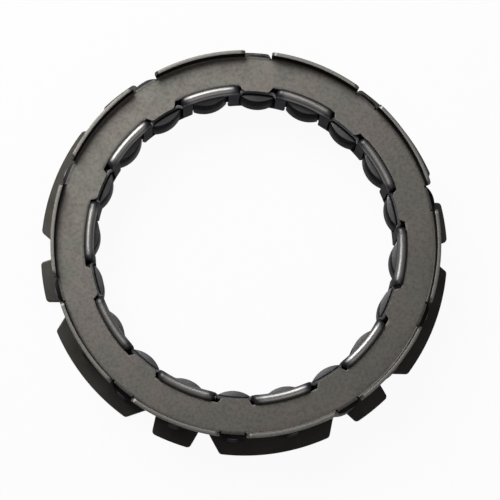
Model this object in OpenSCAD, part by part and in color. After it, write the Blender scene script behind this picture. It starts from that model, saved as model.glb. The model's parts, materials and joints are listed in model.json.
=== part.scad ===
// Sprag element of a starter clutch. Sprags stand in the windows of an outer and an
// inner sheet-steel cage, and a ribbon spring between the cages tips them. Turned one
// way they wedge between the races, and turned the other way they slip.
// Millimetres. +Z is the clutch axis, towards the side plate, and z = 0 is the back of
// the tabbed flange. Places round the ring are clockwise angles from +Y, seen from +Z.

/* [Races] */
// Diameter of the inner race that the sprag feet ride on
inner_race_d = 50.5; // [50.2:0.1:50.8]
// Bore of the outer race that the sprag heads ride in
outer_race_d = 67.16; // [66.8:0.02:67.5]

/* [Sprags] */
// Length of a sprag along the axis
sprag_l = 8.1; // [6:0.1:10]
// Width of a sprag head across its flanks
head_w = 6.2; // [5.6:0.1:6.4]
// Width of a sprag foot across its flanks
foot_w = 5.9; // [5.4:0.1:6]
// Width of a sprag at its waist
waist_w = 4.2; // [3.6:0.1:4.4]
// Radius of the cam face on the head
head_cam_r = 4.2; // [4:0.1:5]
// Radius of the cam face on the foot
foot_cam_r = 5.2; // [4.6:0.1:6]
// Sideways step between the two cam centres, which makes the sprag wedge
cam_step = 0.3; // [0.1:0.05:0.5]
// Radius of the hollow in each flank
flank_r = 2; // [1.8:0.1:2.4]

/* [Outer cage] */
// Distance that the drum stays inside the outer race
drum_race_gap = 1.65; // [1.5:0.05:1.8]
// Thickness of the drum and flange sheet
outer_sheet_t = 0.7; // [0.5:0.05:0.8]
// Height of the drum's solid rim between flange and windows
drum_rear_rim = 1.3; // [1.2:0.1:1.8]
// Height of the drum's solid rim between windows and side plate
drum_front_rim = 0.6; // [0.5:0.1:1.4]
// Distance that the flange tabs reach past the outer race
tab_reach = 2.1; // [1.6:0.1:2.8]
// Outside radius of the bend between the drum and the flange
flange_bend_r = 0.4; // [0.3:0.05:0.6]
// Width of a short tab at its tip
short_tab_w = 7; // [6:0.25:8]
// Angle that a long tab spans at its tip
long_tab_angle = 31.4; // [28:0.2:33]
// Slope of a short tab's sides from straight
short_tab_slope = 9; // [4:1:14]
// Slope of a long tab's sides from straight
long_tab_slope = 20; // [10:1:26]
// Corner radius of the tabs
tab_corner_r = 0.7; // [0.3:0.1:1]
// Angle from the first sprag to the first short tab
tab_phase = 17.4; // [0:0.2:60]

/* [Side plate] */
// Thickness of the side plate sheet
plate_t = 0.6; // [0.5:0.05:0.8]
// Distance that the plate's edge stays inside the lips' outer face
lip_step = 0.64; // [0.5:0.02:0.8]
// Gap between the inner cage and the tongues of the plate
tongue_gap = 0.45; // [0.3:0.05:0.5]
// Depth of the notches between the tongues
notch_depth = 0.95; // [0.9:0.05:1.3]
// Angle that a tongue spans at its root
tongue_angle = 12; // [11:0.25:12.5]
// Slope of a tongue's sides from straight
tongue_slope = 30; // [20:1:34]
// Angle that a lip spans at its base
lip_angle = 28; // [27:0.25:29]
// Angle of the relief slits beside a lip, both together
relief_angle = 1; // [0.5:0.1:1.6]
// Height of the lips above the plate's face
lip_h = 2.5; // [1.8:0.1:3]
// Gap between the lips and the outer race
lip_race_gap = 0.17; // [0.05:0.01:0.3]
// Inside radius of the lip bend
lip_bend_r = 0.4; // [0.2:0.05:0.6]
// Corner radius of the lip tops
lip_corner_r = 0.8; // [0.4:0.1:1.2]

/* [Inner cage] */
// Gap between the inner race and the inner cage
race_gap = 0.3; // [0.25:0.05:0.5]
// Thickness of the inner cage sheet
inner_sheet_t = 0.6; // [0.4:0.05:0.65]
// Height of the plain front bands
band_h = 0.75; // [0.5:0.05:0.9]
// Angle that a front bead spans, end to end
bead_angle = 20.6; // [20:0.1:21]
// Inside radius of the bead's outward bend
bead_bend_r = 0.35; // [0.25:0.05:0.4]
// Angle that the bead's sheet turns through, from upright
bead_turn = 150; // [120:5:170]
// Height of the beads above the plate's face
bead_rise = 1; // [0.9:0.1:1.6]
// Corner radius at the ends of a bead
bead_corner_r = 1.4; // [1:0.1:1.6]
// Thickness of the outward rear rim
rear_rim_t = 0.6; // [0.5:0.05:0.7]
// Depth of the cut-outs in the rear rim, from the outside of the sheet
rear_cut = 0.2; // [0.1:0.05:0.6]
// Angle that the cages are turned apart at rest
phase_rest = 0.75; // [0:0.05:0.9]

/* [Ribbon spring] */
// Thickness of the ribbon
ribbon_t = 0.2; // [0.15:0.01:0.25]
// Height of the rail at each edge of the ribbon
ribbon_rail_h = 0.35; // [0.25:0.05:0.4]
// Gap between the ribbon and each side of a sprag's waist
waist_gap = 0.9; // [0.8:0.05:1.1]
// Height of the ears that press on the sprags
ear_h = 3; // [2:0.25:4]
// Length that an ear stands out of the ribbon
ear_out = 0.6; // [0.4:0.05:0.8]

/* [Clearances] */
// Gap on each side of a sprag in the windows of the cages
window_gap = 0.25; // [0.22:0.01:0.32]
// Gap at each end of a sprag in the windows
end_gap = 0.2; // [0.15:0.01:0.3]
// Gap between the inner cage's rear rim and the drum
drum_gap = 0.3; // [0.2:0.05:0.5]
// Gap between the rear rim and the ribbon, and below the rear rim
rim_gap = 0.2; // [0.15:0.01:0.25]

/* [Hidden] */
sprag_count = 20;
lip_count = sprag_count / 2;
tab_pairs = 6;
pitch = 360 / sprag_count;

$fn = 96;
foot_r = inner_race_d / 2;
head_r = outer_race_d / 2;
drum_r = head_r - drum_race_gap;
drum_inner_r = drum_r - outer_sheet_t;
pivot_r = drum_r - outer_sheet_t / 2;
cage_inner_r = foot_r + race_gap;
cage_outer_r = cage_inner_r + inner_sheet_t;
cage_mid_r = cage_inner_r + inner_sheet_t / 2;
waist_r = (foot_r + head_r) / 2;
flange_r = head_r + tab_reach;
flange_root_r = drum_r + flange_bend_r;

sprag_z = drum_rear_rim + end_gap;
sprag_top = sprag_z + sprag_l;
window_top = sprag_top + end_gap;
plate_z = window_top + drum_front_rim;
plate_face = plate_z + plate_t;
lip_top = plate_face + lip_h;
lip_r = head_r - lip_race_gap;
plate_r = lip_r - lip_step;
tongue_r = cage_outer_r + tongue_gap;
notch_r = tongue_r + notch_depth;

head_window_w = head_w + 2 * window_gap;
foot_window_w = foot_w + 2 * window_gap;
tilt_ratio = cage_mid_r / (pivot_r - cage_mid_r);
tilt_rest = tilt_ratio * phase_rest;

rim_z = rim_gap;
rim_top = rim_z + rear_rim_t;
rim_r = drum_inner_r - drum_gap;
band_z = window_top;
band_top = band_z + band_h;
bead_outer_r = bead_bend_r + inner_sheet_t;
bead_top = plate_face + bead_rise;
rear_cut_r = cage_outer_r + rear_cut;
ribbon_z = rim_top + rim_gap;
ribbon_top = window_top + ribbon_rail_h;
ribbon_r = waist_r - ribbon_t / 2;
ribbon_window_w = waist_w + 2 * waist_gap;
cut = 0.5;
rim_web = 0.5;
tab_spread = 2;
lap = 0.1;

steel = "#7d7873";
dark_steel = "#4b4a4c";
bright_steel = "#8c8a88";
spring_steel = "#6b6f7a";

function sprag_name(i) = str("sprag_", i < 10 ? "0" : "", i);
function polar(r, a) = [r * sin(a), r * cos(a)];

// Turns its children clockwise to the place a round the ring
module place(a) {
    rotate([0, 0, -a]) children();
}

// Repeats its children n times round the ring, from the place first
module ring(n, first = 0) {
    for (k = [0:n - 1]) place(first + k * 360 / n) children();
}

// A straight tube
module tube(outer, inner, z0, z1) {
    translate([0, 0, z0]) linear_extrude(z1 - z0) difference() {
        circle(outer);
        circle(inner);
    }
}

// A block that cuts one window of width w at +Y, from radius r0 outwards
module window(w, r0, r1, z0, z1) {
    translate([-w / 2, r0, z0]) cube([w, r1 - r0, z1 - z0]);
}

// A wedge of the ring, a degrees wide about +Y, as an outline
module wedge_2d(a, r) {
    polygon([[0, 0], polar(r, -a / 2), [0, r], polar(r, a / 2)]);
}

// Outline of one flange tab about +Y. Its sides lean in by slope degrees from
// straight, and each outer corner is a circle that touches a side and the tip.
module tab_2d(tip_half_w, slope) {
    root_y = sqrt(pow(drum_r, 2) - pow(tip_half_w + tab_spread, 2));
    side = [sin(slope), -cos(slope)];
    inward = [-cos(slope), -sin(slope)];
    start = [tip_half_w, sqrt(flange_r * flange_r - tip_half_w * tip_half_w)];
    root = start + side * (start.y - root_y) / cos(slope);
    shifted = start + inward * tab_corner_r;
    along = -shifted * side - sqrt(pow(shifted * side, 2) - shifted * shifted
        + pow(flange_r - tab_corner_r, 2));
    centre = shifted + side * along;
    touch = centre - inward * tab_corner_r;
    crown = centre * flange_r / (flange_r - tab_corner_r);
    intersection() {
        circle(flange_r);
        union() {
            polygon([
                [-root.x, root.y], [-touch.x, touch.y], [-centre.x, centre.y],
                [-crown.x, crown.y], [0, flange_r + 2 * tab_corner_r], crown,
                centre, touch, root]);
            for (s = [-1, 1]) translate([s * centre.x, centre.y]) circle(tab_corner_r);
        }
    }
}

// Drum with a window for each sprag, turned outwards at the back into the flange
// whose short and long tabs key into the starter gear or the rotor
module outer_cage() {
    color(dark_steel) difference() {
        union() {
            tube(drum_r, drum_inner_r, outer_sheet_t, plate_z);
            linear_extrude(outer_sheet_t) difference() {
                union() {
                    circle(flange_root_r);
                    ring(tab_pairs, tab_phase) tab_2d(short_tab_w / 2, short_tab_slope);
                    ring(tab_pairs, tab_phase + 180 / tab_pairs)
                        tab_2d(flange_r * sin(long_tab_angle / 2), long_tab_slope);
                }
                circle(drum_inner_r);
            }
            rotate_extrude() translate([drum_r, outer_sheet_t]) difference() {
                translate([-outer_sheet_t / 2, -outer_sheet_t / 2])
                    square(flange_bend_r + outer_sheet_t / 2);
                translate([flange_bend_r, flange_bend_r]) circle(flange_bend_r);
            }
        }
        ring(sprag_count)
            window(head_window_w, drum_inner_r - cut, drum_r + cut, drum_rear_rim, window_top);
    }
}

// Outline of one tongue about +Y, narrower towards the bore
module tongue_2d() {
    root = polar(notch_r, tongue_angle / 2);
    run = root.y - tongue_r + cut;
    root_x = root.x + cut * tan(tongue_slope);
    tip_x = root.x - run * tan(tongue_slope);
    polygon([
        [-root_x, root.y + cut], [root_x, root.y + cut],
        [tip_x, root.y - run], [-tip_x, root.y - run]]);
}

// Outline of the flat plate: a ring with tongues in its bore, and between them the
// notches that the beads rise through
module plate_2d() {
    difference() {
        circle(plate_r);
        circle(notch_r);
    }
    difference() {
        ring(lip_count) tongue_2d();
        circle(tongue_r);
    }
}

// Profile of a lip: the plate's sheet bent up through a quarter turn
module lip_profile() {
    outer_bend_r = lip_bend_r + plate_t;
    bend_x = lip_r - outer_bend_r;
    translate([bend_x - lip_bend_r - plate_t, plate_z])
        square([lip_bend_r + plate_t + lap / 10, plate_t]);
    translate([lip_r - plate_t, plate_z + outer_bend_r])
        square([plate_t, lip_top - plate_z - outer_bend_r]);
    translate([bend_x, plate_z + outer_bend_r]) intersection() {
        difference() {
            circle(outer_bend_r);
            circle(lip_bend_r);
        }
        translate([0, -outer_bend_r]) square(outer_bend_r);
    }
}

// Blocks that round the top corners of a bent sheet, a degrees wide about +Y, that
// lies between the radii r0 and r1 there
module corner_cuts(a, r0, r1, top, corner_r) {
    block = corner_r + cut;
    for (s = [-1, 1]) place(s * a / 2)
        translate([-s * corner_r, r0 - cut, top - corner_r])
        rotate([-90, 0, 0]) difference() {
            translate([s > 0 ? 0 : -block, -block, 0]) cube([block, block, r1 - r0 + 2 * cut]);
            translate([0, 0, -cut]) cylinder(h = r1 - r0 + 4 * cut, r = corner_r);
        }
}

// One lip about +Y, with rounded top corners
module lip() {
    difference() {
        rotate([0, 0, 90 - lip_angle / 2]) rotate_extrude(angle = lip_angle) lip_profile();
        corner_cuts(lip_angle, lip_r - plate_t, lip_r, lip_top, lip_corner_r);
    }
}

// Side plate that closes the front. Its lips centre the clutch in the outer race.
module front_side_plate() {
    flat_r = lip_r - lip_bend_r - plate_t;
    color(steel) union() {
        translate([0, 0, plate_z]) linear_extrude(plate_t) difference() {
            plate_2d();
            difference() {
                ring(lip_count, pitch) wedge_2d(lip_angle + relief_angle, 2 * plate_r);
                circle(flat_r);
            }
        }
        ring(lip_count, pitch) lip();
    }
}

// Profile of the inner cage: an outward rim at the back, the upright sheet, and a bead
// rolled over outwards above the side plate
module cage_profile() {
    bend_z = bead_top - bead_outer_r;
    reach = 2 * bead_outer_r;
    translate([cage_inner_r, rim_z]) square([rim_r - cage_inner_r, rear_rim_t]);
    translate([cage_inner_r, rim_z]) square([inner_sheet_t, bend_z - rim_z]);
    translate([cage_inner_r + bead_outer_r, bend_z]) intersection() {
        difference() {
            circle(bead_outer_r);
            circle(bead_bend_r);
        }
        polygon(concat([[0, 0]], [for (k = [0:3])
            reach * [cos(180 - k * bead_turn / 3), sin(180 - k * bead_turn / 3)]]));
    }
}

// Block about +Y that parts two beads above a low band
module bead_gap() {
    translate([0, 0, band_top]) linear_extrude(bead_top + cut - band_top)
        wedge_2d(2 * pitch - bead_angle, rim_r);
}

// Castellated cage that drives the feet. Its legs are joined in turn by a low band
// under a tongue of the plate and by a bead that rises through a notch. The beads'
// rounded ends run down to the low bands.
module inner_cage() {
    corner_angle = bead_angle + 2 * lap / cage_mid_r * 180 / PI;
    color(bright_steel) place(phase_rest) difference() {
        rotate_extrude() cage_profile();
        ring(lip_count) {
            bead_gap();
            window(foot_window_w, cage_inner_r - cut, cage_outer_r + cut,
                rim_top + rim_web, band_z);
        }
        ring(lip_count, pitch) {
            corner_cuts(corner_angle, cage_inner_r, cage_inner_r + 2 * bead_outer_r,
                bead_top + lap, bead_corner_r);
            window(foot_window_w, cage_inner_r - cut, rear_cut_r, -cut, rim_top + cut);
            window(foot_window_w, cage_inner_r - cut, cage_outer_r + cut, rim_top, band_top);
        }
    }
}

// Thin ribbon between the cages. A pair of ears in each window tips the sprag.
module ribbon_spring() {
    ear_mid = (ribbon_z + ribbon_top) / 2;
    window_half = ribbon_window_w / 2;
    color(spring_steel) difference() {
        union() {
            tube(ribbon_r + ribbon_t, ribbon_r, ribbon_z, ribbon_top);
            ring(sprag_count)
                translate([window_half, ribbon_r + lap - ear_out, ear_mid - ear_h / 2])
                cube([ribbon_t, ear_out, ear_h]);
        }
        ring(sprag_count) window(ribbon_window_w, ribbon_r - cut, ribbon_r + cut,
            ribbon_z + ribbon_rail_h, window_top);
    }
}

// Outline of a sprag about +Y: two cam arcs, straight flanks and hollow sides
module sprag_2d() {
    difference() {
        union() {
            intersection() {
                translate([-cam_step / 2, head_r - head_cam_r]) circle(head_cam_r);
                translate([-head_w / 2, waist_r]) square([head_w, head_r]);
            }
            intersection() {
                translate([cam_step / 2, foot_r + foot_cam_r]) circle(foot_cam_r);
                translate([-foot_w / 2, foot_r - cut]) square([foot_w, waist_r - foot_r + cut]);
            }
        }
        for (s = [-1, 1]) translate([s * (waist_w / 2 + flank_r), waist_r]) circle(flank_r);
    }
}

// One sprag at its place, tipped about the middle of the drum's sheet
module sprag(i) {
    color(dark_steel) place((i - 1) * pitch)
        translate([0, pivot_r, sprag_z]) rotate([0, 0, tilt_rest])
        translate([0, -pivot_r, 0]) linear_extrude(sprag_l) sprag_2d();
}

outer_cage();
front_side_plate();
inner_cage();
ribbon_spring();
for (i = [1:sprag_count])
    sprag(i);
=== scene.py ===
import math

import bmesh
import bpy
from mathutils import Matrix, Vector
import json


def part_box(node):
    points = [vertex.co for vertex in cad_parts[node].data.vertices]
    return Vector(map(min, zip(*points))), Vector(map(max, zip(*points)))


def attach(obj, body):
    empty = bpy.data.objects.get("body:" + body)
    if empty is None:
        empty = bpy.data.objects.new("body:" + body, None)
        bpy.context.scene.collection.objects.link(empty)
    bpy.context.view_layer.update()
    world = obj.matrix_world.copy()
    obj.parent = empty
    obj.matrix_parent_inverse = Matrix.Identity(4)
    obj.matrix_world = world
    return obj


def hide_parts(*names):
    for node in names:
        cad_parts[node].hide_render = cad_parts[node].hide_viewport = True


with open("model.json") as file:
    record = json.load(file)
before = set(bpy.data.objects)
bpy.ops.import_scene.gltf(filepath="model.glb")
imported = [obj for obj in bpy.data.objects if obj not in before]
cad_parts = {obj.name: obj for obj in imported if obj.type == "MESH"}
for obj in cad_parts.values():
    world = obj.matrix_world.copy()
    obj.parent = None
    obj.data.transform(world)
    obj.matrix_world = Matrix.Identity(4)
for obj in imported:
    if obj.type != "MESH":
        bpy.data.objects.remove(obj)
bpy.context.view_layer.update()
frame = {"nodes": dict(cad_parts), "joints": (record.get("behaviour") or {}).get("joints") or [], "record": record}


# Sprags. Twenty drawn and tumbled bars of bearing steel stand between the cages. Each
# has a cam face at its head and one at its foot, and a hollow down each flank, and
# all edges are tumbled round.
mm = 0.001
mounts = {mount["name"]: mount for mount in frame["record"]["mounts"]}
foot_r = mounts["inner_race_seat"]["dims"]["r_mm"] * mm
head_r = mounts["outer_race_track"]["dims"]["r_mm"] * mm
sprag_l = mounts["inner_race_seat"]["dims"]["length_mm"] * mm
sprag_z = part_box("sprag_01")[0].z
sprag_count = 20
sprag_step = 360 / sprag_count
sprag_turn = math.radians(sprag_step)
head_w = 6.2 * mm
foot_w = 5.9 * mm
waist_w = 4.2 * mm
head_cam_r = 4.2 * mm
foot_cam_r = 5.2 * mm
cam_step = 0.3 * mm
flank_r = 2 * mm
tumbled_edge = 0.25 * mm
touching = 0.01 * mm
weld_gap = 0.004 * mm
waist_r = (foot_r + head_r) / 2
pivot_r = Vector(frame["joints"][1]["pos_m"][:2]).length
tilt_rest = math.radians(3.38)
sprag_dark = (0.045, 0.045, 0.050)
sprag_light = (0.110, 0.109, 0.116)
sprag_ground = (0.14, 0.14, 0.14)
sprag_end_shade = (0.016, 0.016, 0.018)
sprag_track = (0.15, 0.15, 0.16)


def deselect():
    """Leaves nothing selected, so that the next operator acts on its own object alone."""
    if bpy.context.object and bpy.context.object.mode == "EDIT":
        bpy.ops.object.mode_set(mode="OBJECT")
    bpy.ops.object.select_all(action="DESELECT")


def choose(piece):
    """Selects a piece alone and makes it the active one."""
    deselect()
    piece.select_set(True)
    bpy.context.view_layer.objects.active = piece


def edit(piece, mode="VERT"):
    """Opens a piece in edit mode with nothing selected."""
    choose(piece)
    bpy.ops.object.mode_set(mode="EDIT")
    bpy.ops.mesh.select_mode(type=mode)
    bpy.ops.mesh.select_all(action="DESELECT")


def done(piece):
    """Welds what touches, turns the faces outwards and closes edit mode."""
    bpy.ops.mesh.select_all(action="SELECT")
    bpy.ops.mesh.remove_doubles(threshold=weld_gap)
    bpy.ops.mesh.normals_make_consistent(inside=False)
    bpy.ops.object.mode_set(mode="OBJECT")
    return piece


def add_modifier(piece, kind, **settings):
    """Adds a modifier with its settings and applies it."""
    modifier = piece.modifiers.new(kind, kind)
    for name, value in settings.items():
        setattr(modifier, name, value)
    choose(piece)
    bpy.ops.object.modifier_apply(modifier=modifier.name)
    return piece


def round_edges(piece, width, segments=3, sharp=45):
    """Rounds the edges that are sharper than an angle in degrees."""
    return add_modifier(piece, "BEVEL", width=width, segments=segments, limit_method="ANGLE",
                        angle_limit=math.radians(sharp))


def post(radius, x, y, low, high, sides=128):
    """A round post along the axis, the start of every cam and hollow."""
    deselect()
    bpy.ops.mesh.primitive_cylinder_add(
        vertices=sides, radius=radius, depth=high - low, location=(x, y, (low + high) / 2))
    bpy.ops.object.transform_apply()
    return bpy.context.object


def block(low, high):
    """A square block between two corners."""
    deselect()
    centre = [(a + b) / 2 for a, b in zip(low, high)]
    bpy.ops.mesh.primitive_cube_add(size=1, location=centre)
    bpy.context.object.scale = [b - a for a, b in zip(low, high)]
    bpy.ops.object.transform_apply()
    return bpy.context.object


def combine(piece, other, operation):
    """Joins a second solid to a piece, or takes it away, and drops the second solid."""
    add_modifier(piece, "BOOLEAN", object=other, operation=operation, solver="EXACT")
    bpy.data.objects.remove(other)


def smooth(piece, angle=35):
    """Shades a piece smooth but for its sharp edges."""
    choose(piece)
    bpy.ops.object.shade_smooth_by_angle(angle=math.radians(angle))
    return piece


def model_sprag():
    """One sprag at +Y, upright: two cams cut from round posts, then the hollow flanks."""
    low, high = sprag_z, sprag_z + sprag_l
    head = post(head_cam_r, -cam_step / 2, head_r - head_cam_r, low, high)
    combine(head, block((-head_w / 2, waist_r, low - mm), (head_w / 2, head_r + mm, high + mm)),
            "INTERSECT")
    foot = post(foot_cam_r, cam_step / 2, foot_r + foot_cam_r, low, high)
    combine(foot, block((-foot_w / 2, foot_r - mm, low - mm), (foot_w / 2, waist_r, high + mm)),
            "INTERSECT")
    combine(head, foot, "UNION")
    for side in (-1, 1):
        flank = post(flank_r, side * (waist_w / 2 + flank_r), waist_r, low - mm, high + mm)
        combine(head, flank, "DIFFERENCE")
    edit(head)
    done(head)
    return round_edges(head, tumbled_edge, sharp=40)


def copy_turned(piece, name, angle, pivot=(0, 0, 0), tilt=0):
    """Copies a piece with its own mesh, tilts it about a pivot and turns it clockwise."""
    copy = bpy.data.objects.new(name, piece.data.copy())
    bpy.context.scene.collection.objects.link(copy)
    for turn, centre in ((tilt, pivot), (-angle, (0, 0, 0))):
        cos, sin = math.cos(turn), math.sin(turn)
        for vertex in copy.data.vertices:
            x, y = vertex.co.x - centre[0], vertex.co.y - centre[1]
            vertex.co.x = centre[0] + x * cos - y * sin
            vertex.co.y = centre[1] + x * sin + y * cos
    return copy


class Wire:
    """An output of a node, on which numbers and other outputs can be reckoned."""

    def __init__(self, finish, socket):
        self.finish, self.socket = finish, socket

    def reckon(self, operation, first, second):
        """The output of a Math node that takes two values."""
        return self.finish.add("ShaderNodeMath", {"operation": operation}, {0: first, 1: second})

    def __add__(self, other):
        return self.reckon("ADD", self, other)

    def __radd__(self, other):
        return self.reckon("ADD", other, self)

    def __sub__(self, other):
        return self.reckon("SUBTRACT", self, other)

    def __rsub__(self, other):
        return self.reckon("SUBTRACT", other, self)

    def __mul__(self, other):
        return self.reckon("MULTIPLY", self, other)

    def __rmul__(self, other):
        return self.reckon("MULTIPLY", other, self)


class Finish:
    """A finish: a material whose nodes are added one by one."""

    def __init__(self, name, metallic, edge_tint=1.0):
        self.material = bpy.data.materials.new(name)
        self.material.use_nodes = True
        self.tree = self.material.node_tree
        self.shader = self.tree.nodes["Principled BSDF"]
        self.shader.inputs["Metallic"].default_value = metallic
        self.shader.inputs["Specular Tint"].default_value = (edge_tint, edge_tint, edge_tint, 1)
        self.place = self.add("ShaderNodeTexCoord", output="Object")

    def feed(self, socket, value):
        """Links a wire to a socket, or sets the socket to a number or a colour."""
        if isinstance(value, Wire):
            self.tree.links.new(value.socket, socket)
        else:
            socket.default_value = value

    def add(self, kind, settings=None, values=None, output=0):
        """Adds a node, sets it, feeds its inputs and returns one of its outputs."""
        node = self.tree.nodes.new(kind)
        for name, value in (settings or {}).items():
            setattr(node, name, value)
        for name, value in (values or {}).items():
            self.feed(node.inputs[name], value)
        return Wire(self, node.outputs[output])

    def noise(self, scale, detail=2, rough=0.5, place=None):
        """Cloudy noise with scale lumps to the metre, at the object's points or others."""
        return self.add("ShaderNodeTexNoise", {}, {
            "Vector": place or self.place, "Scale": scale, "Detail": detail, "Roughness": rough})

    def ramp(self, value, low, high):
        """0 below low, 1 above high, and a smooth step between."""
        return self.add("ShaderNodeMapRange", {"interpolation_type": "SMOOTHSTEP"}, {
            "Value": value, "From Min": low, "From Max": high})

    def mix(self, factor, first, second):
        """A colour between two."""
        first, second = [c if isinstance(c, Wire) else (*c, 1) for c in (first, second)]
        return self.add("ShaderNodeMix", {"data_type": "RGBA"}, {0: factor, 6: first, 7: second}, 2)

    def part(self, letter, vector=None):
        """The X, Y or Z of the object's points, or of another vector."""
        return self.add("ShaderNodeSeparateXYZ", {}, {0: vector or self.place}, letter)

    def radius(self):
        """Distance of a point from the clutch axis."""
        flat = self.add("ShaderNodeVectorMath", {"operation": "MULTIPLY"},
                        {0: self.place, 1: (1, 1, 0)})
        return self.add("ShaderNodeVectorMath", {"operation": "LENGTH"}, {0: flat}, "Value")

    def round_axis(self):
        """A place that is the same all round the axis, for lines that run round it."""
        return self.add("ShaderNodeCombineXYZ", {}, {0: self.radius(), 1: self.part("Z")})

    def end(self, colour, roughness, height=None, relief=0.05 * mm):
        """Feeds the shader and returns the material."""
        self.feed(self.shader.inputs["Base Color"], colour)
        self.feed(self.shader.inputs["Roughness"], roughness)
        if height is not None:
            bump = self.add("ShaderNodeBump", {}, {
                "Strength": 1, "Distance": relief, "Height": height})
            self.feed(self.shader.inputs["Normal"], bump)
        return self.material


def dress(piece, material):
    """Gives a piece one material."""
    piece.data.materials.clear()
    piece.data.materials.append(material)


def sprag_steel():
    """Dark bearing steel, clouded by tumbling, ground on the ends of the feet and where
    the outer race rubs, with a faint grain. The end faces past the feet get painted shade, near black."""
    finish = Finish("tumbled_bearing_steel", metallic=1.0, edge_tint=0.12)
    radius = finish.radius()
    height = finish.part("Z")
    sprag_top = sprag_z + sprag_l
    end_face = finish.ramp(height, sprag_top - 0.1 * mm, sprag_top - 0.03 * mm)
    off_foot = finish.ramp(radius, foot_r + 0.85 * mm, foot_r + 1.05 * mm)
    track = finish.ramp(radius, head_r - 0.15 * mm, head_r - 0.03 * mm)
    cloud = finish.noise(scale=500, detail=4, rough=0.6)
    grain = finish.noise(scale=6000, detail=3, rough=0.6)
    colour = finish.mix(cloud, sprag_dark, sprag_light)
    # Painted shade: past the feet the end faces are near black, as in the plate's shadow.
    colour = finish.mix(end_face, colour, finish.mix(off_foot, sprag_ground, sprag_end_shade))
    colour = finish.mix(track, colour, sprag_track)
    return finish.end(colour, roughness=0.26 + 0.2 * cloud, height=grain, relief=0.003 * mm)


sprag_finish = sprag_steel()
sprag_model = model_sprag()
for i in range(sprag_count):
    node = f"sprag_{i + 1:02d}"
    sprag = copy_turned(sprag_model, f"tumbled_{node}", i * sprag_turn, (0, pivot_r), tilt_rest)
    dress(smooth(sprag), sprag_finish)
    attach(sprag, node)
    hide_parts(node)
bpy.data.objects.remove(sprag_model)


# Outer cage. A drum drawn from hardened sheet steel, with a window punched for each
# sprag. At the back it is turned out through a bend into a flange, whose short and long
# tabs were cut in the same press.
cage_t = 0.7 * mm
flange_r = mounts["flange_tabs"]["dims"]["r_mm"] * mm
flange_z = cage_t / 2
flange_bend_r = 0.4 * mm + cage_t / 2
bend_steps = 8
plate_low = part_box("front_side_plate")[0].z
window_low = 1.3 * mm
window_high = sprag_z + sprag_l + 0.2 * mm
drum_post_half = 2.95
drum_post_root = 3.6
window_corner_r = 0.4 * mm
window_corner_steps = 5
short_tab = (5.63, 9)
long_tab = (15.7, 20)
short_tab_root = 7.2
long_tab_root = 20.4
short_tab_at = 17.4
tab_turn = 60
tab_corner_r = 0.7 * mm
tab_corner_steps = 6
tab_side_shares = (0.1, 0.5)
ring_column = 0.6
cage_edge = 0.18 * mm
cage_dark = (0.036, 0.033, 0.029)
cage_light = (0.105, 0.098, 0.089)


def lathe(name, profile, angle, column):
    """A sheet from a line of (radius, height) points, turned about the axis to both
    sides of +Y, all in degrees. A positive spin about +Z turns clockwise, as the parts
    are numbered."""
    start = math.radians(-angle / 2)
    mesh = bpy.data.meshes.new(name)
    mesh.from_pydata([(r * math.sin(start), r * math.cos(start), z) for r, z in profile],
                     [(i, i + 1) for i in range(len(profile) - 1)], [])
    piece = bpy.data.objects.new(name, mesh)
    bpy.context.scene.collection.objects.link(piece)
    edit(piece)
    bpy.ops.mesh.select_all(action="SELECT")
    bpy.ops.mesh.spin(steps=round(angle / column), angle=math.radians(angle),
                      center=(0, 0, 0), axis=(0, 0, 1))
    return done(piece)


def off_middle(point, middle, spacing):
    """Middle of the nearest strip, and a point's turn from it, both in degrees."""
    turn = math.degrees(math.atan2(point.x, point.y))
    nearest = middle + spacing * round((turn - middle) / spacing)
    return nearest, turn - nearest


def pick(piece, kind, test, middle=0, spacing=360):
    """Selects the faces, edges or vertices whose middle passes a test on radius, turn
    from the nearest strip's middle and height."""
    mesh = bmesh.from_edit_mesh(piece.data)
    bpy.ops.mesh.select_mode(type={"faces": "FACE", "edges": "EDGE", "verts": "VERT"}[kind])
    bpy.ops.mesh.select_all(action="DESELECT")
    for element in getattr(mesh, kind):
        if kind == "verts":
            place = element.co
        elif kind == "edges":
            place = (element.verts[0].co + element.verts[1].co) / 2
        else:
            place = element.calc_center_median()
        turn = off_middle(place, middle, spacing)[1]
        if test(math.hypot(place.x, place.y), turn, place.z):
            element.select_set(True)
    bmesh.update_edit_mesh(piece.data)


def grow(piece, rings, middle=0, spacing=360):
    """Extrudes the selected edges ring by ring into strips of sheet. A ring is a radius,
    a height and the half angle in degrees that each strip spans there."""
    for radius, height, half in rings:
        bpy.ops.mesh.extrude_edges_indiv()
        mesh = bmesh.from_edit_mesh(piece.data)
        edge = [vertex for vertex in mesh.verts if vertex.select]
        turns = [off_middle(vertex.co, middle, spacing) for vertex in edge]
        widest = max(abs(turn) for _, turn in turns)
        for vertex, (centre, turn) in zip(edge, turns):
            angle = math.radians(centre + turn * half / widest)
            vertex.co = (radius * math.sin(angle), radius * math.cos(angle), height)
        bmesh.update_edit_mesh(piece.data)


def arc(centre, radius, first, last, steps):
    """Points of an arc in the radius and height plane, angles in degrees."""
    points = []
    for i in range(steps + 1):
        a = math.radians(first + (last - first) * i / steps)
        points.append((centre[0] + radius * math.cos(a), centre[1] + radius * math.sin(a)))
    return points


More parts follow.
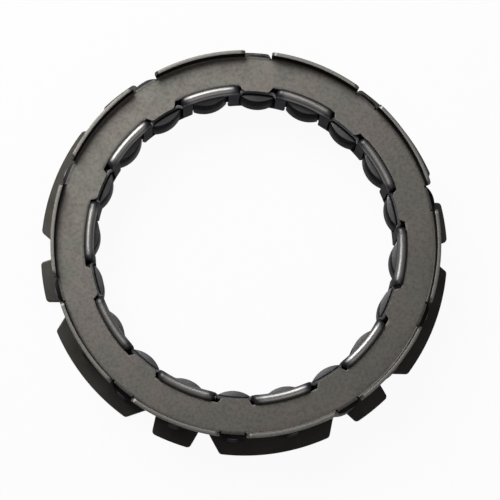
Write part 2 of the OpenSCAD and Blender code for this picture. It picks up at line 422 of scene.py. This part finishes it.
def tab_rings(tip_half, slope):
    """A tab from root to tip: sides that lean in by slope degrees, then round corners."""
    lean = math.radians(slope)
    reach = flange_r * math.sin(math.radians(tip_half) + lean)
    corner_at = flange_r - tab_corner_r
    sine = (reach - tab_corner_r) / corner_at
    corners = []
    for i in range(tab_corner_steps + 1):
        turn = math.acos(sine) * (1 - i / tab_corner_steps)
        out, side = corner_at + tab_corner_r * math.cos(turn), tab_corner_r * math.sin(turn)
        half = math.asin(sine) - lean + math.atan2(side, out)
        corners.append((math.hypot(out, side), flange_z, math.degrees(half)))
    root_r = pivot_r + flange_bend_r
    sides = []
    for share in tab_side_shares:
        radius = root_r + (corners[0][0] - root_r) * share
        sides.append((radius, flange_z, math.degrees(math.asin(reach / radius) - lean)))
    return sides + corners


def drum_post_rings():
    """A post between two windows, flared at both ends by the windows' round corners."""
    flare = drum_post_root - drum_post_half
    lower = []
    for i in range(1, window_corner_steps + 1):
        a = math.radians(90 * i / window_corner_steps)
        rise = window_corner_r * (1 - math.cos(a))
        lower.append((window_low + rise, drum_post_root - flare * math.sin(a)))
    middle = window_low + window_high
    upper = [(middle - z, half) for z, half in reversed(lower)]
    upper.append((window_high, drum_post_root))
    return [(pivot_r, z, half) for z, half in lower + upper]


def model_outer_cage():
    """Rear ring, posts, front ring and tabs as one sheet, then its thickness."""
    bend = arc((pivot_r + flange_bend_r, flange_z + flange_bend_r), flange_bend_r, 270, 180,
               bend_steps)
    cage = lathe("drawn_outer_cage", [*bend, (pivot_r, window_low)], 360, ring_column)
    front = lathe("front_ring", [(pivot_r, window_high), (pivot_r, plate_low)], 360, ring_column)
    edit(cage, "EDGE")
    pick(cage, "edges", lambda r, a, z: z > window_low - touching and abs(a) < drum_post_root,
         sprag_step / 2, sprag_step)
    grow(cage, drum_post_rings(), sprag_step / 2, sprag_step)
    tabs = ((short_tab, short_tab_root, 0), (long_tab, long_tab_root, tab_turn / 2))
    for shape, root, step in tabs:
        middle = short_tab_at + step
        pick(cage, "edges", lambda r, a, z: r > bend[0][0] - touching and abs(a) < root,
             middle, tab_turn)
        grow(cage, tab_rings(*shape), middle, tab_turn)
    done(cage)
    deselect()
    front.select_set(True)
    cage.select_set(True)
    bpy.context.view_layer.objects.active = cage
    bpy.ops.object.join()
    edit(cage)
    done(cage)
    add_modifier(cage, "SOLIDIFY", thickness=cage_t, offset=0, use_even_offset=True)
    return round_edges(cage, cage_edge, segments=2)


def cage_steel():
    """Nearly black hardened steel with fine lines round the axis from polishing."""
    finish = Finish("dark_cage_steel", metallic=1.0, edge_tint=0.3)
    cloud = finish.noise(scale=260, detail=4, rough=0.6)
    lines = finish.noise(scale=9000, detail=2, rough=0.6, place=finish.round_axis())
    colour = finish.mix(0.6 * cloud + 0.4 * lines, cage_dark, cage_light)
    return finish.end(colour, roughness=0.34 + 0.16 * cloud, height=lines, relief=0.006 * mm)


outer_cage = model_outer_cage()
dress(smooth(outer_cage), cage_steel())
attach(outer_cage, "outer_cage")
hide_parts("outer_cage")


# Ribbon spring. A thin band of spring steel runs round between the cages, and its
# ears lean on the sprags.
ribbon_dark = (0.10, 0.10, 0.115)
ribbon_light = (0.20, 0.20, 0.225)


def spring_steel():
    """Rolled spring steel, a little blue, with fine rolling lines."""
    finish = Finish("blued_spring_steel", metallic=1.0)
    lines = finish.noise(scale=7000, detail=2, rough=0.6, place=finish.round_axis())
    cloud = finish.noise(scale=400, detail=3, rough=0.5)
    colour = finish.mix(cloud, ribbon_dark, ribbon_light)
    return finish.end(colour, roughness=0.28 + 0.12 * cloud, height=lines, relief=0.003 * mm)


ribbon = frame["nodes"]["ribbon_spring"]
dress(ribbon, spring_steel())


# Inner cage. Sheet steel drawn into a ring with a rear rim. Low bands, guessed and bent
# out of sight behind the tongues, join its legs in turn with beads. These are rolled
# over outwards and rise through the notches of the side plate. Their crests are painted
# bright, partly as wear and partly as painted highlight, and fade to painted shade at the ends.
inner_t = 0.5 * mm
inner_mid_r = foot_r + 0.8 * mm + inner_t / 2
inner_turn = math.radians(0.75)
sector_count = 10
sector = 360 / sector_count
sheet_column = 0.5
rim_z = 0.2 * mm + inner_t / 2
rim_r = pivot_r - cage_t / 2 - 0.3 * mm
rim_bend_r = 0.7 * mm
rim_corner_r = 0.65 * mm
rim_corner_low = 0.15 * mm
band_high = window_high + 0.5 * mm
band_step = 0.45 * mm
foot_window_half = 7.0
leg_side = 11.0
leg_low = window_low + 0.1 * mm
same_turn = 0.001
band_bend = 1.5
plate_t = 0.6 * mm
plate_face = plate_low + plate_t
bead_half = 10.8
bead_root = 11.0
bead_r = 0.62 * mm
bead_turn = 165
bead_steps = 12
bead_bend_z = plate_face + 1.0 * mm - bead_r - inner_t / 2
bead_end = 1.6
bead_end_sink = 0.88
bead_end_least = 0.12
inner_edge = 0.18 * mm
leg_dark = (0.062, 0.062, 0.067)
leg_light = (0.150, 0.150, 0.158)
bead_rubbed_and_lit = (0.22, 0.215, 0.212)
bead_worn_and_highlit = (0.34, 0.332, 0.322)


def repeat_round(piece, count):
    """Copies a sector round the axis and welds the copies into one sheet."""
    edit(piece)
    bpy.ops.mesh.select_all(action="SELECT")
    bpy.ops.mesh.spin(steps=count - 1, dupli=True, angle=2 * math.pi * (count - 1) / count,
                      center=(0, 0, 0), axis=(0, 0, 1))
    done(piece)


def turn_mesh(piece, angle):
    """Turns a mesh clockwise about the axis."""
    cos, sin = math.cos(angle), math.sin(angle)
    for vertex in piece.data.vertices:
        x, y = vertex.co.x, vertex.co.y
        vertex.co.x, vertex.co.y = x * cos + y * sin, y * cos - x * sin
    return piece


def move_to_radius(vertex, radius):
    """Moves a vertex straight out or in to a radius."""
    share = radius / math.hypot(vertex.co.x, vertex.co.y)
    vertex.co.x *= share
    vertex.co.y *= share


def round_rear_corners(sheet):
    """Rounds the legs' sides where they run into the rear bend and along it."""
    mesh = bmesh.from_edit_mesh(sheet.data)
    bend_end = inner_mid_r + rim_bend_r
    bend_top = rim_z + rim_bend_r
    for vertex in mesh.verts:
        radius = math.hypot(vertex.co.x, vertex.co.y)
        turn = math.atan2(vertex.co.x, vertex.co.y)
        bent = math.acos(min(1, max(0, 1 - (radius - inner_mid_r) / rim_bend_r)))
        above = rim_corner_low - bent * rim_bend_r + max(0, vertex.co.z - bend_top)
        lean = min(1, max(0, 1 - above / rim_corner_r))
        at_rear = radius < bend_end - touching and vertex.co.z < leg_low + 0.05 * mm
        if at_rear and abs(abs(turn) - math.radians(foot_window_half)) < same_turn:
            turn += math.copysign(rim_corner_r * (1 - math.sqrt(1 - lean ** 2)) / radius, turn)
            vertex.co.x, vertex.co.y = radius * math.sin(turn), radius * math.cos(turn)
    bmesh.update_edit_mesh(sheet.data)


def close_bead_ends(sheet):
    """Lets the bead sink into the upright sheet towards its ends."""
    mesh = bmesh.from_edit_mesh(sheet.data)
    for vertex in mesh.verts:
        turn = math.degrees(abs(math.atan2(vertex.co.x, vertex.co.y)))
        past = (turn - bead_half + bead_end) / bead_end
        if vertex.co.z > band_high + touching and past > 0:
            full = math.sqrt(max(1 - bead_end_sink * past ** 2, bead_end_least))
            radius = math.hypot(vertex.co.x, vertex.co.y)
            move_to_radius(vertex, inner_mid_r + (radius - inner_mid_r) * full)
            vertex.co.z = band_high + (vertex.co.z - band_high) * full
    bmesh.update_edit_mesh(sheet.data)


def step_bands_out(sheet):
    """Bends the low bands outwards behind the tongues, clear of the sprag feet."""
    mesh = bmesh.from_edit_mesh(sheet.data)
    for vertex in mesh.verts:
        turn = math.degrees(abs(math.atan2(vertex.co.x, vertex.co.y)))
        past = min(1, max(0, (turn - leg_side) / band_bend))
        if vertex.co.z > window_high - touching:
            radius = math.hypot(vertex.co.x, vertex.co.y)
            move_to_radius(vertex, radius + band_step * past ** 2 * (3 - 2 * past))
    bmesh.update_edit_mesh(sheet.data)


def model_inner_cage():
    """A sector about the middle of a bead: rim, bend and upright sheet are turned, the
    windows are cut, the bead is rolled and the low bands are bent, and the sectors are
    welded."""
    bend = arc((inner_mid_r + rim_bend_r, rim_z + rim_bend_r), rim_bend_r, 270, 180,
               bend_steps)
    heights = (leg_low, window_high, band_high, bead_bend_z)
    profile = [(rim_r, rim_z), *bend, *[(inner_mid_r, z) for z in heights]]
    sheet = lathe("drawn_inner_cage", profile, sector, sheet_column)
    edit(sheet, "FACE")
    pick(sheet, "faces", lambda r, a, z: abs(a) < foot_window_half and z < band_high
         and r < inner_mid_r + rim_bend_r)
    bpy.ops.mesh.delete(type="FACE")
    pick(sheet, "faces", lambda r, a, z: abs(a) > leg_side and window_low < z < window_high
         and r < inner_mid_r + 0.1 * mm)
    bpy.ops.mesh.delete(type="FACE")
    pick(sheet, "faces", lambda r, a, z: abs(a) > bead_root and z > band_high)
    bpy.ops.mesh.delete(type="FACE")
    pick(sheet, "edges", lambda r, a, z: z > bead_bend_z - touching)
    roll = arc((inner_mid_r + bead_r, bead_bend_z), bead_r, 180, 180 - bead_turn, bead_steps)
    grow(sheet, [(r, z, bead_half) for r, z in roll[1:]])
    close_bead_ends(sheet)
    step_bands_out(sheet)
    round_rear_corners(sheet)
    done(sheet)
    repeat_round(sheet, sector_count)
    add_modifier(sheet, "SOLIDIFY", thickness=inner_t, offset=0)
    round_edges(sheet, inner_edge, sharp=50)
    return turn_mesh(sheet, sprag_turn + inner_turn)


def inner_cage_steel():
    """Dark tumbled sheet; the beads are painted bright, partly as wear and partly as painted highlight."""
    finish = Finish("polished_cage_steel", metallic=1.0, edge_tint=0.15)
    height = finish.part("Z")
    across = finish.part("X")
    turned = across.reckon("ARCTAN2", across, finish.part("Y")) - (sprag_turn + inner_turn)
    off_bead = turned.reckon("PINGPONG", turned, math.radians(sector / 2))
    # Painted shade: the beads darken towards their ends, where they curve away from the light.
    middle = 1 - finish.ramp(off_bead, math.radians(6.5), math.radians(9.6))
    # Wear and painted light together: the bead above the plate face is lighter and its crest brighter.
    rubbed_and_lit = finish.ramp(height, plate_face - 0.2 * mm, plate_face + 0.5 * mm) * middle
    worn_and_highlit = finish.ramp(height, plate_face + 0.42 * mm, plate_face + 0.95 * mm) * middle
    cloud = finish.noise(scale=420, detail=4, rough=0.6)
    scratch = finish.noise(scale=3500, detail=3, rough=0.6)
    dull = finish.mix(cloud, leg_dark, leg_light)
    colour = finish.mix(rubbed_and_lit, dull, bead_rubbed_and_lit)
    colour = finish.mix(worn_and_highlit, colour, bead_worn_and_highlit)
    roughness = 0.42 - 0.08 * worn_and_highlit + 0.1 * cloud
    return finish.end(colour, roughness, height=scratch, relief=0.0015 * mm)


inner_cage = model_inner_cage()
dress(smooth(inner_cage), inner_cage_steel())
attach(inner_cage, "inner_cage")
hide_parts("inner_cage")


# Side plate. A ring of sheet steel spot welded to the front of the drum. Ten lips are
# bent up at its rim to run in the outer race, and ten tongues reach in over the low
# bands of the inner cage.
lip_r = mounts["outer_race_guide"]["dims"]["r_mm"] * mm
tongue_r = foot_r + 1.5 * mm
notch_r = tongue_r + 0.95 * mm
lip_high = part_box("front_side_plate")[1].z
lip_mid_r = lip_r - plate_t / 2
lip_bend_r = 0.4 * mm + plate_t / 2
lip_bend_steps = 7
plate_mid_z = plate_low + plate_t / 2
flat_r = lip_mid_r - lip_bend_r
flat_rings = (0.5 * mm, 1.5 * mm, 0.3 * mm)
plate_r = lip_r - 0.64 * mm
tongue_half = 6.0
tongue_tip_half = 4.85
tongue_corner_r = 0.35 * mm
tongue_corner_steps = 4
gap_half = 3.5
lip_half = 14.0
lip_corner_r = 0.8 * mm
lip_corner_steps = 6
plate_edge = 0.1 * mm
plate_warm = (0.225, 0.201, 0.183)
plate_cool = (0.198, 0.195, 0.170)
plate_dark = (0.122, 0.115, 0.104)
plate_corner_shade = (0.014, 0.012, 0.014)
plate_rim_highlight = (0.25, 0.244, 0.228)
plate_cut_highlight = (0.52, 0.51, 0.48)


def tongue_rings():
    """A tongue from root to tip: sides that lean in, then small round corners."""
    straight = notch_r - tongue_r - tongue_corner_r
    slope = (tongue_half - tongue_tip_half) / (notch_r - tongue_r)
    rings = [(notch_r - straight, tongue_half - slope * straight)]
    for i in range(1, tongue_corner_steps + 1):
        a = math.radians(90 * i / tongue_corner_steps)
        inward = tongue_corner_r * math.sin(a)
        corner = math.degrees(tongue_corner_r * (1 - math.cos(a)) / tongue_r)
        rings.append((notch_r - straight - inward,
                      tongue_half - slope * (straight + inward) - corner))
    return [(r, plate_mid_z, half) for r, half in rings]


def lip_rings():
    """A lip from the flat plate up through its bend, with round top corners."""
    bend = arc((flat_r, plate_mid_z + lip_bend_r), lip_bend_r, 270, 360, lip_bend_steps)[1:]
    rings = [(r, z, lip_half) for r, z in bend]
    for i in range(lip_corner_steps + 1):
        a = math.radians(90 * i / lip_corner_steps)
        corner = math.degrees(lip_corner_r * (1 - math.cos(a)) / lip_mid_r)
        rings.append((lip_mid_r, lip_high - lip_corner_r * (1 - math.sin(a)), lip_half - corner))
    return rings


def model_plate():
    """A sector about the middle of a tongue, with half a lip at each end."""
    past_notch, far_in, near_in = flat_rings
    radii = [notch_r, notch_r + past_notch, flat_r - far_in, flat_r - near_in, flat_r, plate_r]
    profile = [(r, plate_mid_z) for r in radii]
    plate = lathe("lipped_side_plate", profile, sector, sheet_column)
    edit(plate, "FACE")
    pick(plate, "faces", lambda r, a, z: abs(a) > gap_half and r > flat_r)
    bpy.ops.mesh.delete(type="FACE")
    pick(plate, "edges", lambda r, a, z: abs(a) < tongue_half and r < notch_r + touching)
    grow(plate, tongue_rings())
    pick(plate, "edges", lambda r, a, z: abs(a) < lip_half and abs(r - flat_r) < 2 * touching,
         sector / 2, sector)
    grow(plate, lip_rings(), sector / 2, sector)
    done(plate)
    repeat_round(plate, sector_count)
    add_modifier(plate, "SOLIDIFY", thickness=plate_t, offset=0, use_even_offset=True)
    return round_edges(plate, plate_edge, sharp=50)


def plate_steel():
    """Dull grey steel, mottled warm and cool, with a fine rolled grain. Painted shade darkens
    the corner inside the lips. The lips' rims and the punched sides in the bore get painted highlights."""
    finish = Finish("mottled_plate_steel", metallic=1.0, edge_tint=0.3)
    radius = finish.radius()
    height = finish.part("Z")
    inside_lip = lip_mid_r - plate_t / 2
    # Painted shade: the corner inside the lips is darkened.
    corner = finish.ramp(radius, inside_lip - 0.75 * mm, inside_lip - 0.3 * mm)
    corner = corner * (1 - finish.ramp(radius, inside_lip + 0.06 * mm, inside_lip + 0.12 * mm))
    corner = corner * finish.ramp(height, plate_face - 0.1 * mm, plate_face + 0.05 * mm)
    # Painted highlight on the lips' rims.
    rim = finish.ramp(height, lip_high - 0.2 * mm, lip_high - 0.08 * mm)
    rim = rim * (1 - 0.8 * finish.ramp(radius, lip_mid_r, lip_mid_r + 0.2 * mm))
    # Painted highlight on the punched sides of the tongues and notches.
    facing = finish.part("Z", finish.add("ShaderNodeNewGeometry", output="Normal"))
    cut = (1 - finish.ramp(facing, 0.3, 0.8)) * finish.ramp(facing, -0.8, -0.3)
    cut = cut * (1 - finish.ramp(radius, notch_r + 0.2 * mm, notch_r + 0.3 * mm))
    blotch = finish.ramp(finish.noise(scale=170, detail=2, rough=0.5), 0.35, 0.65)
    cloud = finish.ramp(finish.noise(scale=420, detail=5, rough=0.65), 0.3, 0.8)
    speck = finish.ramp(finish.noise(scale=1800, detail=2, rough=0.6), 0.35, 0.75)
    grain = finish.noise(scale=3000, detail=4, rough=0.7)
    colour = finish.mix(blotch, plate_cool, plate_warm)
    colour = finish.mix(0.35 * cloud + 0.55 * speck, colour, plate_dark)
    colour = finish.mix(0.65 * corner * (1 - rim), colour, plate_corner_shade)
    colour = finish.mix(0.8 * rim, colour, plate_rim_highlight)
    colour = finish.mix(0.8 * cut, colour, plate_cut_highlight)
    return finish.end(colour, roughness=0.44 + 0.12 * cloud, height=grain, relief=0.012 * mm)


side_plate = model_plate()
dress(smooth(side_plate), plate_steel())
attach(side_plate, "outer_cage")
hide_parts("front_side_plate")


# Studio. The clutch lies on a plain white floor and is seen almost along its axis,
# from a little below. A broad soft light stands towards the top left of the picture,
# and a larger and weaker one opposite.
image_right = Vector((0.9976, 0.0698, 0))
image_up = Vector((-0.0698, 0.9976, 0))
upright = Vector((0, 0, 1))
tilt_x = math.radians(-7.91)
tilt_y = math.radians(1.47)
distance = 462 * mm
aim_right = 0.716 * mm
aim_down = 1.06 * mm
lens = 193.7
film_width = 36
floor_side = 4
floor_glow = 0.94


def floor_paint():
    """White, with its own light for the camera and for reflections, and a faint shadow."""
    finish = Finish("white_floor", metallic=0.0)
    finish.tree.nodes.remove(finish.shader)
    camera_ray = finish.add("ShaderNodeLightPath", output="Is Camera Ray")
    glossy_ray = finish.add("ShaderNodeLightPath", output="Is Glossy Ray")
    passed_ray = finish.add("ShaderNodeLightPath", output="Is Transmission Ray")
    glow = finish.add("ShaderNodeEmission", {}, {"Color": (1, 1, 1, 1), "Strength": 1.0})
    paint = finish.add("ShaderNodeBsdfDiffuse", {}, {"Color": (0.8, 0.8, 0.8, 1)})
    seen = floor_glow * (camera_ray + glossy_ray + passed_ray)
    both = finish.add("ShaderNodeMixShader", {}, {0: seen, 1: paint, 2: glow})
    finish.feed(finish.tree.nodes["Material Output"].inputs["Surface"], both)
    return finish.material


deselect()
bpy.ops.mesh.primitive_plane_add(size=floor_side, location=(0, 0, 0))
floor = bpy.context.object
floor.name = "floor"
dress(floor, floor_paint())


def view_axis(x, y, z):
    """A direction from its parts along the picture's sides and the clutch axis."""
    return image_right * x + image_up * y + upright * z


towards = view_axis(-math.sin(tilt_y), math.sin(tilt_x) * math.cos(tilt_y),
                    math.cos(tilt_x) * math.cos(tilt_y))
across = view_axis(math.cos(tilt_y), math.sin(tilt_x) * math.sin(tilt_y),
                   math.cos(tilt_x) * math.sin(tilt_y))
over = towards.cross(across)
aim = Vector((0, 0, plate_face)) + across * aim_right - over * aim_down
camera_data = bpy.data.cameras.new("camera")
camera_data.sensor_width = film_width
camera_data.lens = lens
camera_data.clip_start = 0.01
camera = bpy.data.objects.new("camera", camera_data)
bpy.context.scene.collection.objects.link(camera)
turned = Matrix((across, over, towards)).transposed().to_4x4()
camera.matrix_world = Matrix.Translation(aim + towards * distance) @ turned
bpy.context.scene.camera = camera


def lamp(name, place, size, watts):
    """A square soft light that faces the middle of the clutch."""
    data = bpy.data.lights.new(name, "AREA")
    data.size = size
    data.energy = watts
    light = bpy.data.objects.new(name, data)
    bpy.context.scene.collection.objects.link(light)
    light.location = place
    light.rotation_euler = Vector(place).to_track_quat("Z", "Y").to_euler()


lamp("key_light", image_up * 0.2 - image_right * 0.13 + upright * 0.27, size=0.24, watts=1.2)
lamp("fill_light", -image_up * 0.3 + image_right * 0.2 + upright * 0.5, size=0.4, watts=0.4)
world = bpy.data.worlds.new("pale_room")
world.use_nodes = True
world.node_tree.nodes["Background"].inputs["Color"].default_value = (0.9, 0.9, 0.9, 1)
world.node_tree.nodes["Background"].inputs["Strength"].default_value = 0.16
bpy.context.scene.world = world
bpy.context.scene.view_settings.view_transform = "Standard"
